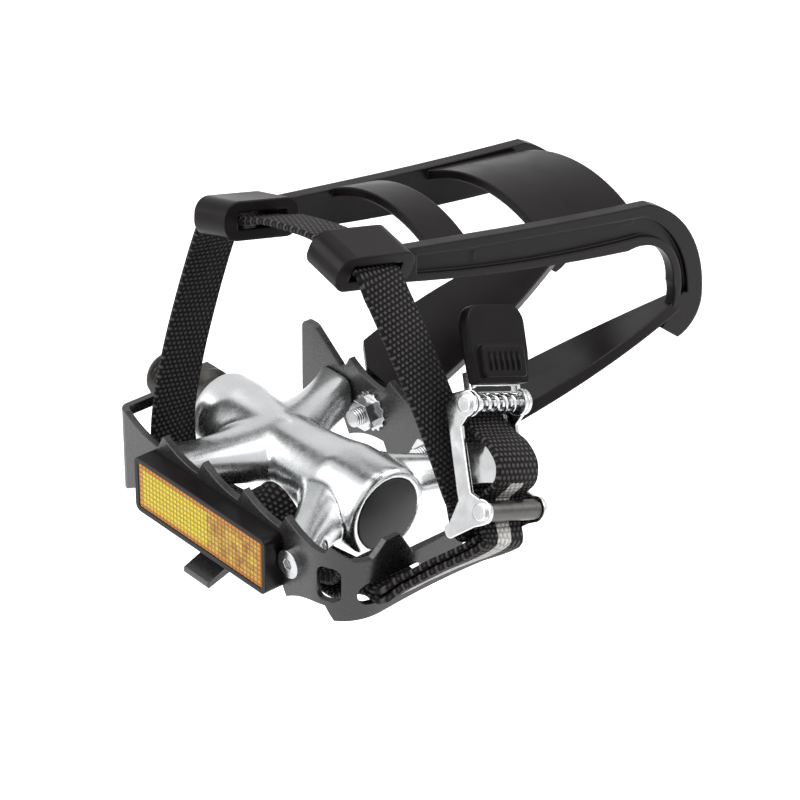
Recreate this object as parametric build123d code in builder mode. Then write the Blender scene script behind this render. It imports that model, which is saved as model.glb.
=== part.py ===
from build123d import *
import os
from math import cos, degrees, radians, sin

# Right-hand toe clip pedal. X runs outboard along the spindle, Y forward to the toe, Z up.
# The origin is on the spindle axis, at the face that seats on the crank.

# Spindle: crank thread, wrench flats, neck, journal and outer thread
thread_radius = 7.14
thread_length = 13.5
thread_chamfer = 1.2
wrench_radius = 9.3
wrench_length = 6.5
wrench_across_flats = 15.0
neck_radius = 7.4
journal_radius = 5.8
end_thread_radius = 4.0
end_thread_length = 17.5

# Bearings: two rows of loose balls
ball_radius = 1.98
ball_circle_radius = 7.0
ball_count = 10
ball_play = 0.08
cup_radius = 9.9
cup_length = 5.6
cup_web = 1.0
seal_length = 1.8
seal_clearance = 0.1
seal_gap = 0.4
inner_seat = 0.22
outer_seat = 0.6
outer_set = 18.5
cone_length = 6.0
cone_side = 2.2
cone_foot = 1.0
race_depth = 1.4
lock_washer_width = 1.0
lock_nut_width = 4.0
end_stub = 0.4

# Pedal body casting
body_start = 13.2
body_to_wall = 21.5
barrel_inner_radius = 11.7
barrel_waist_radius = 10.6
barrel_outer_radius = 13.3
barrel_edge = 1.0
bore_radius = 8.2
cap_bore_radius = 10.3
cap_bore_depth = 9.0
cap_skirt = 4.0
cap_wall = 1.6
cap_plate = 1.4
cap_dome = 0.9
cap_sink = 0.3
arm_tip_width = 14.0
arm_tip_height = 12.5
arm_mid_width = 17.5
arm_mid_place = 0.5
arm_mid_height = 14.0
arm_root_width = 37.0
arm_root_height = 22.6
arm_edge = 3.6
inner_root = 41.0
outer_root_set = 21.5
rear_inner_tip = 29.0
front_inner_tip = 26.0
arm_stagger = 1.2

# Cage: one bent steel plate
cage_thickness = 2.0
cage_half_depth = 34.0
cage_inboard = 10.5
cage_outboard = 107.0
cage_inner_bend = 3.5
cage_outer_bend = 13.0
tooth_margin = 6.0
cage_flange_end = 14.0
tooth_count = 5
tooth_tip = 12.5
tooth_root = 8.0
tooth_back = 2.5
tooth_sweep = 1.2
wall_top = 6.4
wall_bottom = 12.6
wall_arch = 2.6
horn_top = 10.6
horn_base = 13.6
horn_tip = 2.4
strap_slot_height = 6.4
strap_slot_level = -4.0
corner_window_width = 7.0
corner_window_height = 10.5
corner_window_turn = 65.0
corner_window_level = -1.2
flange_bar = 3.0
front_horn_top = 16.5
front_horn_width = 5.5
front_horn_foot = 17.0
flip_tab_width = 10.5
flip_tab_drop = 6.5
flip_tab_reach = 7.5
flip_tab_fall = 3.0

# Fasteners
cage_screw_radius = 2.0
cage_screw_grip = 9.0
cage_screw_head_radius = 4.0
head_gap = 0.3
cage_screw_head_height = 2.0
screw_clearance = 0.1
clip_bolt_radius = 2.5
bolt_from_inner_arm = 8.5
bolt_from_outer_arm = 10.0
clip_slot_length = 10.8
clip_bolt_tail = 7.5
clip_bolt_head_flats = 8.0
clip_bolt_head_height = 3.5
clip_nut_height = 4.0
lock_washer_radius = 5.4
lock_washer_thickness = 0.8
lock_washer_teeth = 14
washer_tooth_radius = 0.6
bolt_clearance = 0.3

# Reflector on the rear plate
reflector_length = 56.4
reflector_height = 17.2
reflector_depth = 6.0
reflector_rim = 1.6
reflector_level = -2.0
lens_depth = 2.4
stud_radius = 1.5
stud_spacing = 22.0
stud_nut_flats = 5.5
stud_nut_height = 2.4

# Toe clip moulding
clip_set_over = 2.0
clip_wall = 3.4
clip_length = 82.0
clip_twist = 3.2
base_half_width = 22.0
base_top = 8.0
base_bottom = -9.0
arm_level = 5.2
arm_pitch = 10.0
arm_roll = 16.0
arm_overlap = 1.6
rail_inner = 23.6
rail_pocket = 1.5
web_rise = 6.5
web_wall = 2.6
rear_web_length = 12.0
front_web_length = 34.0
web_slope = 7.0
loop_inner = 17.0
loop_width = 12.7
loop_length = 26.0
loop_height = 10.6
loop_pitch = 14.0
loop_roll = 13.0
loop_edge = 4.6
tunnel_length = 17.0
tunnel_height = 4.4

# Strap and buckle
strap_width = 15.0
strap_thickness = 1.8
tail_end = 41.0
strap_rear = 20.0
strap_bow = 2.2
strap_stand_off = 3.0
strap_hump = 6.0
strap_hump_tilt = -36.0
buckle_out = 15.7
buckle_forward = 5.9
buckle_level = 33.4
buckle_lean = 20.0
buckle_tilt = 33.0
buckle_half_width = 9.6
buckle_sheet = 1.1
cheek_radius = 3.4
bar_radius = 1.1
bar_ear = 2.0
lever_half_width = 9.2
lever_sheet = 0.9
cam_plate = 2.8
strap_gap = 0.3
buckle_pivot = 14.0
pin_radius = 1.3
pin_clearance = 0.05
pin_head_height = 0.8
pin_head_lip = 0.9
cam_radius = 3.7
cam_groove = 0.3
tongue_face = 1.2
tongue_length = 13.0
spring_wire = 0.45
spring_coils = 5
spring_gap = 0.5
roller_radius = 2.7
roller_length = 18.6
tab_width = 21.0
tab_length = 20.5
tab_thickness = 3.2
tab_corner = 5.0
tab_pad_length = 8.5
tab_pad_height = 1.3
tab_pad_margin = 2.5

os.makedirs("parts", exist_ok=True)

# Working places that follow from the sizes above
plate_inside = cage_half_depth - cage_thickness
body_end = cage_outboard - body_to_wall
outer_root = body_end - outer_root_set
rear_outer_tip = cage_outboard - cage_outer_bend - arm_tip_width / 2 - head_gap
front_outer_tip = rear_outer_tip - arm_stagger
reflector_centre = rear_outer_tip - cage_screw_head_radius - head_gap - reflector_length / 2
stud_places = (reflector_centre - stud_spacing / 2, reflector_centre + stud_spacing / 2)
strap_slot_offset = cage_half_depth / 2
tooth_start = cage_inboard + cage_inner_bend
tooth_pitch = (cage_outboard - tooth_margin - tooth_start) / tooth_count
neck_end = body_start + seal_length + seal_gap
inner_ball_x = neck_end + ball_radius + inner_seat
outer_cup_x = body_end - outer_set
outer_ball_x = outer_cup_x + cup_web + ball_radius + ball_play + outer_seat
journal_clear = ball_circle_radius - ball_radius - ball_play
outer_cone_end = outer_ball_x + cone_length
spindle_end = outer_cone_end + lock_washer_width + lock_nut_width + end_stub
bolt_places = (
    front_inner_tip + arm_tip_width / 2 + bolt_from_inner_arm,
    front_outer_tip - arm_tip_width / 2 - bolt_from_outer_arm,
)
slot_places = (bolt_places[0] + clip_set_over, bolt_places[1] + clip_set_over)
clip_centre = sum(slot_places) / 2
base_front = cage_half_depth + clip_wall
buckle_centre = (cage_outboard + buckle_out, buckle_forward, buckle_level)
loop_centre_y = base_front - 0.523 * clip_length
loop_level = 0.907 * clip_length
rear_web_y = base_front - 0.183 * clip_length
rear_web_level = 0.841 * clip_length
front_web_y = base_front + 0.256 * clip_length
front_web_level = 0.766 * clip_length
toe_reach = 0.73 * clip_length
screw_places = (
    (rear_inner_tip, -1),
    (rear_outer_tip, -1),
    (front_inner_tip, 1),
    (front_outer_tip, 1),
)


def ring(inner, outer, start, end):
    """A plain ring about the spindle axis."""
    with BuildPart() as made:
        with BuildSketch(Plane.XY):
            with Locations(((start + end) / 2, (inner + outer) / 2)):
                Rectangle(end - start, outer - inner)
        revolve(axis=Axis.X)
    return made.part


def along_y(x, y, z=0.0):
    """A sketch plane across Y whose first axis is X and second axis is Z."""
    return Plane(origin=(x, y, z), x_dir=(1, 0, 0), z_dir=(0, -1, 0))


def save(piece, label):
    piece.label = label
    export_step(piece, f"parts/{label}.step")


# Spindle
with BuildPart() as spindle:
    with BuildSketch(Plane.XY):
        with BuildLine():
            Polyline(
                (-thread_length, 0),
                (-thread_length, thread_radius - thread_chamfer),
                (-thread_length + thread_chamfer, thread_radius),
                (0, thread_radius),
                (0, wrench_radius),
                (wrench_length, wrench_radius),
                (wrench_length + 1.5, neck_radius),
                (neck_end, neck_radius),
                (neck_end, neck_radius - race_depth),
                (inner_ball_x - cone_foot, journal_clear),
                (inner_ball_x + 5.0, journal_clear),
                (inner_ball_x + 7.0, journal_radius),
                (outer_cup_x - 4.0, journal_clear),
                (spindle_end - end_thread_length, end_thread_radius),
                (spindle_end - 0.8, end_thread_radius),
                (spindle_end, end_thread_radius - 0.8),
                (spindle_end, 0),
                close=True,
            )
        make_face()
    revolve(axis=Axis.X)
    with BuildSketch(Plane.YZ):
        Rectangle(3 * wrench_radius, 3 * wrench_radius)
        Rectangle(3 * wrench_radius, wrench_across_flats, mode=Mode.SUBTRACT)
    extrude(amount=wrench_length - 1.0, mode=Mode.SUBTRACT)
save(spindle.part, "spindle")

# Pedal body: barrel and four arms
with BuildPart() as pedal_body:
    with BuildSketch(Plane.XY):
        with BuildLine():
            Line((body_start, 0), (body_start, barrel_inner_radius - barrel_edge))
            Polyline(
                (body_start, barrel_inner_radius - barrel_edge),
                (body_start + barrel_edge, barrel_inner_radius),
                (inner_root - arm_root_width / 2, barrel_inner_radius),
            )
            ThreePointArc(
                (inner_root - arm_root_width / 2, barrel_inner_radius),
                ((inner_root + outer_root) / 2 - 5, barrel_waist_radius),
                (outer_root + 4, barrel_outer_radius),
            )
            Line((outer_root + 4, barrel_outer_radius), (body_end - barrel_edge, barrel_outer_radius))
            Line((body_end - barrel_edge, barrel_outer_radius), (body_end, barrel_outer_radius - barrel_edge))
            Line((body_end, barrel_outer_radius - barrel_edge), (body_end, 0))
            Line((body_end, 0), (body_start, 0))
        make_face()
    revolve(axis=Axis.X)
    for root, tip, side in (
        (inner_root, rear_inner_tip, -1),
        (outer_root, rear_outer_tip, -1),
        (inner_root, front_inner_tip, 1),
        (outer_root, front_outer_tip, 1),
    ):
        with BuildSketch(along_y(root, 0)):
            Ellipse(arm_root_width / 2, arm_root_height / 2)
        with BuildSketch(along_y(root + (tip - root) * arm_mid_place, side * plate_inside * arm_mid_place)):
            Ellipse(arm_mid_width / 2, arm_mid_height / 2)
        with BuildSketch(along_y(tip, side * plate_inside)):
            RectangleRounded(arm_tip_width, arm_tip_height, arm_edge)
        loft()
    # Bore for the spindle, seats for the bearing cups and the seal, thread bore for the cap
    add(ring(0, bore_radius, body_start, body_end), mode=Mode.SUBTRACT)
    add(ring(0, cup_radius, body_start, neck_end + cup_length), mode=Mode.SUBTRACT)
    add(ring(0, cup_radius, outer_cup_x, body_end), mode=Mode.SUBTRACT)
    add(ring(0, cap_bore_radius, body_end - cap_bore_depth, body_end), mode=Mode.SUBTRACT)
    for x, side in screw_places:
        with Locations(along_y(x, side * plate_inside)):
            Cylinder(cage_screw_radius + screw_clearance, 2 * cage_screw_grip, mode=Mode.SUBTRACT)
save(pedal_body.part, "pedal_body")

# Seal and bearings
save(ring(neck_radius + seal_clearance, cup_radius, body_start, body_start + seal_length), "inner_seal")

for label, start, web_first in (("inner_cup", neck_end, False), ("outer_cup", outer_cup_x, True)):
    web_at = start if web_first else start + cup_length - cup_web
    with BuildPart() as cup:
        add(ring(ball_circle_radius + ball_radius + ball_play, cup_radius, start, start + cup_length))
        add(ring(ball_circle_radius - 0.4, cup_radius, web_at, web_at + cup_web))
    save(cup.part, label)

for label, x in (("inner_balls", inner_ball_x), ("outer_balls", outer_ball_x)):
    with BuildPart() as balls:
        with Locations(Plane(origin=(x, 0, 0), x_dir=(0, 1, 0), z_dir=(1, 0, 0))):
            with PolarLocations(ball_circle_radius, ball_count):
                Sphere(ball_radius)
    save(balls.part, label)

with BuildPart() as outer_cone:
    with BuildSketch(Plane.XY):
        with BuildLine():
            Polyline(
                (outer_ball_x - 1.2, end_thread_radius),
                (outer_ball_x - 1.2, journal_clear),
                (outer_ball_x + cone_foot, journal_clear),
                (outer_ball_x + cone_side, neck_radius - race_depth),
                (outer_ball_x + cone_side, neck_radius),
                (outer_cone_end, neck_radius),
                (outer_cone_end, end_thread_radius),
                close=True,
            )
        make_face()
    revolve(axis=Axis.X)
save(outer_cone.part, "outer_cone")

lock_nut_start = outer_cone_end + lock_washer_width
save(ring(end_thread_radius, neck_radius - seal_gap, outer_cone_end, lock_nut_start), "lock_washer")

with BuildPart() as lock_nut:
    with BuildSketch(Plane.YZ.offset(lock_nut_start)):
        RegularPolygon(neck_radius - 1.2, 6, major_radius=False)
        Circle(end_thread_radius, mode=Mode.SUBTRACT)
    extrude(amount=lock_nut_width)
save(lock_nut.part, "lock_nut")

# Dust cap: a domed disc with a threaded skirt
cap_face = body_end - cap_sink
with BuildPart() as dust_cap:
    with BuildSketch(Plane.XY):
        with BuildLine():
            Polyline(
                (cap_face, cap_bore_radius),
                (cap_face - cap_skirt, cap_bore_radius),
                (cap_face - cap_skirt, cap_bore_radius - cap_wall),
                (cap_face - cap_plate, cap_bore_radius - cap_wall),
                (cap_face - cap_plate + cap_dome, 0),
                (cap_face + cap_dome, 0),
            )
            ThreePointArc(
                (cap_face + cap_dome, 0),
                (cap_face + cap_dome * 0.75, cap_bore_radius / 2),
                (cap_face, cap_bore_radius),
            )
        make_face()
    revolve(axis=Axis.X)
save(dust_cap.part, "dust_cap")


def cage_loop(inset):
    """Outline of the cage seen from above, set in by the given amount."""
    left = cage_inboard + inset
    right = cage_outboard - inset
    depth = cage_half_depth - inset
    corners = [(left, -depth), (right, -depth), (right, depth), (left, depth)]
    bends = [cage_inner_bend - inset, cage_outer_bend - inset] * 2
    radii = [bends[0], bends[1], bends[1], bends[0]]
    with BuildSketch() as made:
        with BuildLine():
            FilletPolyline(*corners, radius=radii, close=True)
        make_face()
    return made.sketch


def tooth_edge(edge):
    """The toothed edge from the inboard end to the outboard bend, above or below the plate."""
    for number in range(tooth_count):
        tip = (tooth_start + number * tooth_pitch, edge * tooth_tip)
        foot = (tip[0] + tooth_pitch - tooth_back, edge * tooth_root)
        middle = ((tip[0] + foot[0]) / 2, edge * ((tooth_tip + tooth_root) / 2 - tooth_sweep))
        ThreePointArc(tip, middle, foot)
        Line(foot, (tip[0] + tooth_pitch, edge * tooth_tip))


# Cage
cage_high = tooth_tip + 2.0
with BuildPart() as cage:
    with BuildSketch(Plane.XY.offset(-cage_high)):
        add(cage_loop(0))
        add(cage_loop(cage_thickness), mode=Mode.SUBTRACT)
    extrude(amount=2 * cage_high)
    # Open inboard side in front of the rear flange
    with Locations((cage_inboard, (2 * cage_half_depth - cage_flange_end) / 2, 0)):
        Box(2 * cage_inner_bend, 2 * cage_half_depth + cage_flange_end, 3 * cage_high, mode=Mode.SUBTRACT)
    # Saw teeth along the top and bottom of the front and rear plates
    for edge in (1, -1):
        last = (tooth_start + tooth_count * tooth_pitch, edge * tooth_tip)
        with BuildSketch(Plane.XZ):
            with BuildLine():
                tooth_edge(edge)
                Polyline(
                    last,
                    (cage_outboard + 1, edge * tooth_tip),
                    (cage_outboard + 1, edge * 3 * cage_high),
                    (cage_inboard - 1, edge * 3 * cage_high),
                    (cage_inboard - 1, edge * tooth_tip),
                    (tooth_start, edge * tooth_tip),
                )
            make_face()
        extrude(amount=2 * cage_half_depth, both=True, mode=Mode.SUBTRACT)
    # Tall rounded horn at the inboard end of the front plate
    with BuildSketch(along_y(cage_inboard, cage_half_depth)):
        with BuildLine():
            FilletPolyline(
                (0, -tooth_root),
                (0, front_horn_top),
                (front_horn_width, front_horn_top),
                (front_horn_foot, tooth_root),
                (front_horn_foot, -tooth_root),
                radius=[2.0, front_horn_width / 2 - 0.2, front_horn_width / 2 - 0.2, 2.0, 0.1],
                close=True,
            )
        make_face()
    extrude(amount=cage_thickness)
    # Outboard wall: dipped top edge with a horn over each strap slot, arched bottom edge
    with BuildSketch(Plane.YZ.offset(cage_outboard - cage_outer_bend + 5)):
        with BuildLine():
            Polyline(
                (-cage_half_depth - 1, tooth_tip),
                (-cage_half_depth + 6, wall_top),
                (-strap_slot_offset - horn_base / 2, wall_top),
                (-strap_slot_offset - horn_tip, horn_top),
                (-strap_slot_offset + horn_tip, horn_top),
                (-strap_slot_offset + horn_base / 2, wall_top - 3),
                (strap_slot_offset - horn_base / 2, wall_top - 3),
                (strap_slot_offset - horn_tip, horn_top),
                (strap_slot_offset + horn_tip, horn_top),
                (strap_slot_offset + horn_base / 2, wall_top),
                (cage_half_depth - 6, wall_top),
                (cage_half_depth + 1, tooth_tip),
                (cage_half_depth + 1, 3 * cage_high),
                (-cage_half_depth - 1, 3 * cage_high),
                close=True,
            )
        make_face()
    extrude(amount=cage_outer_bend, mode=Mode.SUBTRACT)
    with BuildSketch(Plane.YZ.offset(cage_outboard - cage_outer_bend + 5)):
        with BuildLine():
            Line((-cage_half_depth - 1, -3 * cage_high), (-cage_half_depth - 1, -wall_bottom))
            ThreePointArc(
                (-cage_half_depth - 1, -wall_bottom),
                (0, -wall_bottom + wall_arch),
                (cage_half_depth + 1, -wall_bottom),
            )
            Line((cage_half_depth + 1, -wall_bottom), (cage_half_depth + 1, -3 * cage_high))
            Line((cage_half_depth + 1, -3 * cage_high), (-cage_half_depth - 1, -3 * cage_high))
        make_face()
    extrude(amount=cage_outer_bend, mode=Mode.SUBTRACT)
    # Strap slots through the outboard wall
    for side in (-1, 1):
        with BuildSketch(Plane.YZ.offset(cage_outboard - 4 * cage_thickness)):
            with Locations((side * strap_slot_offset, strap_slot_level)):
                SlotOverall(strap_width + strap_slot_height, strap_slot_height)
        extrude(amount=6 * cage_thickness, mode=Mode.SUBTRACT)
        # Window in the bend
        bend_x = cage_outboard - cage_outer_bend
        bend_y = side * (cage_half_depth - cage_outer_bend)
        turn = radians(corner_window_turn)
        out = (cos(turn), side * sin(turn), 0)
        window_middle = (bend_x, bend_y, corner_window_level)
        with BuildSketch(Plane(origin=window_middle, x_dir=(-out[1], out[0], 0), z_dir=out)):
            RectangleRounded(corner_window_width, corner_window_height, corner_window_width / 3)
        extrude(amount=2 * cage_outer_bend, mode=Mode.SUBTRACT)
    # Window in the rear flange
    window_end = cage_half_depth - cage_thickness - head_gap
    window_start = cage_flange_end + flange_bar
    with BuildSketch(Plane.YZ.offset(cage_inboard - cage_thickness)):
        with Locations((-(window_start + window_end) / 2, 0)):
            RectangleRounded(window_end - window_start, 2 * (tooth_tip - flange_bar), cage_thickness)
    extrude(amount=3 * cage_thickness, mode=Mode.SUBTRACT)
    # Flip tab bent back below the rear plate
    tab_bend = -tooth_root - flip_tab_drop
    tab_tip = (-cage_half_depth - flip_tab_reach, tab_bend - flip_tab_fall)
    with BuildSketch(Plane.YZ.offset(reflector_centre - flip_tab_width / 2)):
        with BuildLine():
            FilletPolyline(
                (-plate_inside, -tooth_root),
                (-cage_half_depth, -tooth_root),
                (-cage_half_depth, tab_bend),
                tab_tip,
                (tab_tip[0], tab_tip[1] - cage_thickness),
                (-plate_inside, tab_bend - cage_thickness),
                radius=[0, 0, 0, 0.5, 0.5, 2.5],
                close=True,
            )
        make_face()
    extrude(amount=flip_tab_width)
    # Holes for the cage screws, the clip bolts and the reflector studs
    for x, side in screw_places:
        with Locations(along_y(x, side * cage_half_depth)):
            Cylinder(cage_screw_radius + screw_clearance, 6 * cage_thickness, mode=Mode.SUBTRACT)
    for x in bolt_places:
        with Locations(along_y(x, cage_half_depth)):
            Cylinder(clip_bolt_radius + bolt_clearance, 6 * cage_thickness, mode=Mode.SUBTRACT)
    for x in stud_places:
        with Locations(along_y(x, -cage_half_depth, reflector_level)):
            Cylinder(stud_radius + screw_clearance, 6 * cage_thickness, mode=Mode.SUBTRACT)
save(cage.part, "cage")

# Cage screws, with a ring-shaped recess in each head
with BuildPart() as cage_screws:
    for x, side in screw_places:
        outside = Plane(origin=(x, side * cage_half_depth, 0), x_dir=(1, 0, 0), z_dir=(0, side, 0))
        with BuildSketch(outside):
            Circle(cage_screw_head_radius)
        extrude(amount=cage_screw_head_height)
        with BuildSketch(outside):
            Circle(cage_screw_radius)
        extrude(amount=-cage_screw_grip)
        with BuildSketch(outside.offset(cage_screw_head_height)):
            RegularPolygon(1.6, 6)
        extrude(amount=-1.2, mode=Mode.SUBTRACT)
save(cage_screws.part, "cage_screws")

# Reflector: housing with two studs, and the lens in its front recess
reflector_back = -cage_half_depth
reflector_front = reflector_back - reflector_depth
with BuildPart() as reflector_housing:
    with BuildSketch(along_y(reflector_centre, reflector_back, reflector_level)):
        RectangleRounded(reflector_length, reflector_height, 2.0)
    extrude(amount=reflector_depth)
    with BuildSketch(along_y(reflector_centre, reflector_front, reflector_level)):
        RectangleRounded(reflector_length - 2 * reflector_rim, reflector_height - 2 * reflector_rim, 0.8)
    extrude(amount=-lens_depth, mode=Mode.SUBTRACT)
    for x in stud_places:
        with BuildSketch(along_y(x, reflector_back, reflector_level)):
            Circle(stud_radius)
        extrude(amount=-cage_thickness - stud_nut_height - 0.8)
    # Pocket over the head of the cage screw behind the housing
    with BuildSketch(along_y(rear_inner_tip, reflector_back)):
        Circle(cage_screw_head_radius + 0.5)
    extrude(amount=cage_screw_head_height + 0.5, mode=Mode.SUBTRACT)
save(reflector_housing.part, "reflector_housing")

with BuildPart() as reflector_lens:
    with BuildSketch(along_y(reflector_centre, reflector_front + lens_depth, reflector_level)):
        RectangleRounded(
            reflector_length - 2 * reflector_rim - 0.2,
            reflector_height - 2 * reflector_rim - 0.2,
            0.7,
        )
    extrude(amount=lens_depth - 0.2)
save(reflector_lens.part, "reflector_lens")

with BuildPart() as reflector_nuts:
    for x in stud_places:
        with BuildSketch(along_y(x, -plate_inside, reflector_level)):
            RegularPolygon(stud_nut_flats / 2, 6, major_radius=False)
            Circle(stud_radius, mode=Mode.SUBTRACT)
        extrude(amount=-stud_nut_height)
save(reflector_nuts.part, "reflector_nuts")


# Toe clip
rail_outer = rail_inner + clip_wall
arm_length = 0.927 * clip_length


def twist_at(y):
    """The strap's pull lifts the outboard rail and lowers the other, most at the loops."""
    return clip_twist * max(base_front + toe_reach - y, 0) / (base_front + toe_reach - loop_centre_y)


def clip_point(forward, height, side):
    """A point of a clip side's outline, in shares of the clip's length."""
    y = base_front + forward * clip_length
    return (y, height * clip_length + side * twist_at(y))


def loop_plane(side):
    """Middle of a strap loop, with X outward, Y forward and Z up."""
    x = clip_centre + side * (loop_inner + loop_width / 2)
    middle = (x, loop_centre_y, loop_level + side * clip_twist)
    return Plane(origin=middle, x_dir=(1, 0, 0), z_dir=(0, 0, 1)).rotated((-loop_pitch, side * loop_roll, 0))


with BuildPart() as toe_clip:
    for side in (-1, 1):
        # Lower arm, from the base to the toe
        arm = Plane(origin=(clip_centre, base_front, arm_level), x_dir=(1, 0, 0), z_dir=(0, 0, 1))
        with BuildSketch(arm.rotated((arm_pitch, -side * arm_roll, 0))):
            with BuildLine():
                Line(
                    (side * 0.08 * rail_inner, -arm_overlap),
                    (side * 0.235 * rail_inner, 0.17 * clip_length),
                )
                ThreePointArc(
                    (side * 0.235 * rail_inner, 0.17 * clip_length),
                    (side * 0.47 * rail_inner, 0.51 * clip_length),
                    (side * 0.9 * rail_inner, arm_length),
                )
                Line((side * 0.9 * rail_inner, arm_length), (side * rail_outer, arm_length))
                ThreePointArc(
                    (side * rail_outer, arm_length),
                    (side * 1.17 * rail_outer, 0.51 * clip_length),
                    (side * 1.36 * base_half_width, 0.05 * clip_length),
                )
                Polyline(
                    (side * 1.36 * base_half_width, 0.05 * clip_length),
                    (side * base_half_width, -arm_overlap),
                    (side * 0.08 * rail_inner, -arm_overlap),
                )
            make_face()
        extrude(amount=-clip_wall)
        # Rail and toe band in one curved outline
        with BuildSketch(Plane.YZ.offset(clip_centre + side * rail_inner)):
            with BuildLine():
                Line(clip_point(-0.402, 0.915, side), clip_point(-0.085, 0.86, side))
                ThreePointArc(
                    clip_point(-0.085, 0.86, side),
                    clip_point(0.329, 0.793, side),
                    clip_point(0.72, 0.738, side),
                )
                ThreePointArc(
                    clip_point(0.72, 0.738, side),
                    clip_point(0.939, 0.537, side),
                    clip_point(1, 0.305, side),
                )
                ThreePointArc(
                    clip_point(1, 0.305, side),
                    clip_point(0.976, 0.22, side),
                    clip_point(0.89, 0.165, side),
                )
                Line(clip_point(0.89, 0.165, side), clip_point(0.805, 0.232, side))
                ThreePointArc(
                    clip_point(0.805, 0.232, side),
                    clip_point(0.854, 0.293, side),
                    clip_point(0.854, 0.39, side),
                )
                ThreePointArc(
                    clip_point(0.854, 0.39, side),
                    clip_point(0.793, 0.537, side),
                    clip_point(0.622, 0.591, side),
                )
                ThreePointArc(
                    clip_point(0.622, 0.591, side),
                    clip_point(0.183, 0.665, side),
                    clip_point(-0.402, 0.799, side),
                )
                Line(clip_point(-0.402, 0.799, side), clip_point(-0.402, 0.915, side))
            make_face()
        extrude(amount=side * clip_wall)
        # Channel on the outer face of the rail, between two beads
        with BuildSketch(Plane.YZ.offset(clip_centre + side * rail_outer)):
            with BuildLine():
                Line(clip_point(-0.329, 0.872, side), clip_point(-0.085, 0.824, side))
                ThreePointArc(
                    clip_point(-0.085, 0.824, side),
                    clip_point(0.329, 0.756, side),
                    clip_point(0.695, 0.698, side),
                )
                ThreePointArc(
                    clip_point(0.695, 0.698, side),
                    clip_point(0.872, 0.524, side),
                    clip_point(0.927, 0.329, side),
                )
                ThreePointArc(
                    clip_point(0.927, 0.329, side),
                    clip_point(0.909, 0.335, side),
                    clip_point(0.89, 0.329, side),
                )
                ThreePointArc(
                    clip_point(0.89, 0.329, side),
                    clip_point(0.841, 0.524, side),
                    clip_point(0.671, 0.628, side),
                )
                ThreePointArc(
                    clip_point(0.671, 0.628, side),
                    clip_point(0.207, 0.69, side),
                    clip_point(-0.329, 0.807, side),
                )
                Line(clip_point(-0.329, 0.807, side), clip_point(-0.329, 0.872, side))
            make_face()
        extrude(amount=-side * rail_pocket, mode=Mode.SUBTRACT)
        # Strap loop with a rounded rear end and a tunnel across the pedal
        loop = loop_plane(side)
        loop_start = loop.from_local_coords((-loop_width / 2, 0, 0))
        with BuildSketch(Plane(origin=loop_start, x_dir=loop.y_dir, z_dir=loop.x_dir)):
            RectangleRounded(loop_length, loop_height, loop_edge)
        extrude(amount=loop_width)
        with Locations(loop):
            Box(3 * loop_width, tunnel_length, tunnel_height, mode=Mode.SUBTRACT)
    # Base on the front plate
    with BuildSketch(along_y(clip_centre, base_front, 0)):
        with Locations((0, (base_top + base_bottom) / 2)):
            RectangleRounded(2 * base_half_width, base_top - base_bottom, 3.0)
    extrude(amount=clip_wall)
    # Two arched webs between the rails
    for start, length, level in (
        (rear_web_y, rear_web_length, rear_web_level),
        (front_web_y, front_web_length, front_web_level),
    ):
        lean = twist_at(start + length / 2) / rail_inner
        slope = Plane(
            origin=(clip_centre, start, level),
            x_dir=(1, 0, 0),
            z_dir=(0, cos(radians(web_slope)), -sin(radians(web_slope))),
        )
        edge = rail_inner + clip_wall / 3
        with BuildSketch(slope.rotated((0, 0, -degrees(lean)))):
            with BuildLine():
                ThreePointArc((-edge, 0), (0, -web_rise), (edge, 0))
                Line((edge, 0), (edge, web_wall))
                ThreePointArc((edge, web_wall), (0, web_wall - web_rise), (-edge, web_wall))
                Line((-edge, web_wall), (-edge, 0))
            make_face()
        extrude(amount=length)
    # Bolt slots in the base
    for x in slot_places:
        with BuildSketch(along_y(x, base_front + clip_wall, 0)):
            SlotOverall(clip_slot_length, 2 * (clip_bolt_radius + bolt_clearance))
        extrude(amount=4 * clip_wall, mode=Mode.SUBTRACT)
    # The back of the base is flat on the front plate
    with Locations((clip_centre, cage_half_depth - clip_wall, 0)):
        Box(4 * base_half_width, 2 * clip_wall, 2 * base_half_width, mode=Mode.SUBTRACT)
save(toe_clip.part, "toe_clip")

# Clip bolts with hexagon heads in front, nuts and toothed washers behind the front plate
with BuildPart() as clip_bolts:
    for x in bolt_places:
        with BuildSketch(along_y(x, base_front + clip_bolt_head_height)):
            RegularPolygon(clip_bolt_head_flats / 2, 6, major_radius=False)
        extrude(amount=clip_bolt_head_height)
        with BuildSketch(along_y(x, base_front)):
            Circle(clip_bolt_radius)
        extrude(amount=base_front - plate_inside + clip_bolt_tail)
save(clip_bolts.part, "clip_bolts")

with BuildPart() as clip_lock_washers:
    for x in bolt_places:
        with BuildSketch(along_y(x, plate_inside)):
            Circle(lock_washer_radius)
            with PolarLocations(lock_washer_radius, lock_washer_teeth):
                Circle(washer_tooth_radius)
            Circle(clip_bolt_radius + bolt_clearance, mode=Mode.SUBTRACT)
        extrude(amount=lock_washer_thickness)
save(clip_lock_washers.part, "clip_lock_washers")

with BuildPart() as clip_nuts:
    for x in bolt_places:
        with BuildSketch(along_y(x, plate_inside - lock_washer_thickness)):
            RegularPolygon(clip_bolt_head_flats / 2, 6, major_radius=False)
            Circle(clip_bolt_radius, mode=Mode.SUBTRACT)
        extrude(amount=clip_nut_height)
save(clip_nuts.part, "clip_nuts")

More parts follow.
